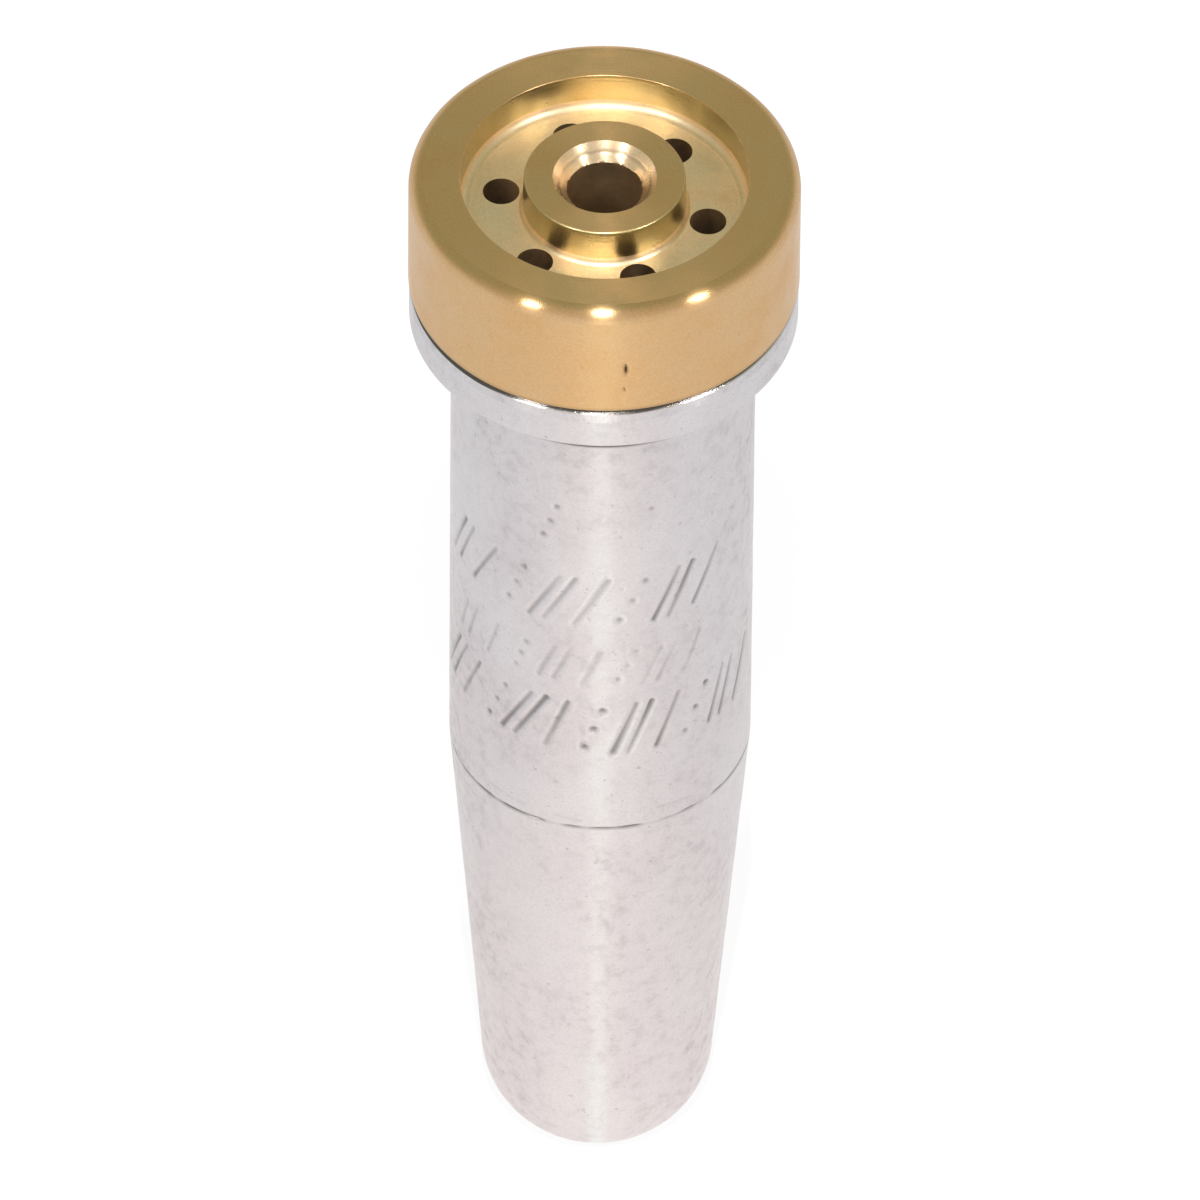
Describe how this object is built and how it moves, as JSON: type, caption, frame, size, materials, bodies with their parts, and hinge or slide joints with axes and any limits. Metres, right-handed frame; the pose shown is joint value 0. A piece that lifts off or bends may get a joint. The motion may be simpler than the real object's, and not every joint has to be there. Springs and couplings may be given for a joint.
{
  "type": "oxy fuel cutting tip",
  "caption": "Two-piece oxy fuel cutting tip: brass nozzle with a flat grooved seat, ring of gas ports and central oxygen bore, held in a plated shell with a tapered rounded nose.",
  "frame": {"origin": "where the tip's axis meets the plane of its flat seat", "axes": "+Z along the axis, out of the seat and away from the nose; +X and +Y square to it, with +Y away from the side that faces the picture"},
  "size_m": [0.016, 0.016, 0.0535],
  "materials": {
    "brass": "satin turned brass, with fine turning marks and brighter walls in the groove and the countersink",
    "plated_shell": "satin plated copper, slightly mottled, with fine scuffs and small pits"
  },
  "bodies": {
    "root": {"inner_nozzle": "brass", "outer_shell": "plated_shell"}
  },
  "joints": []
}
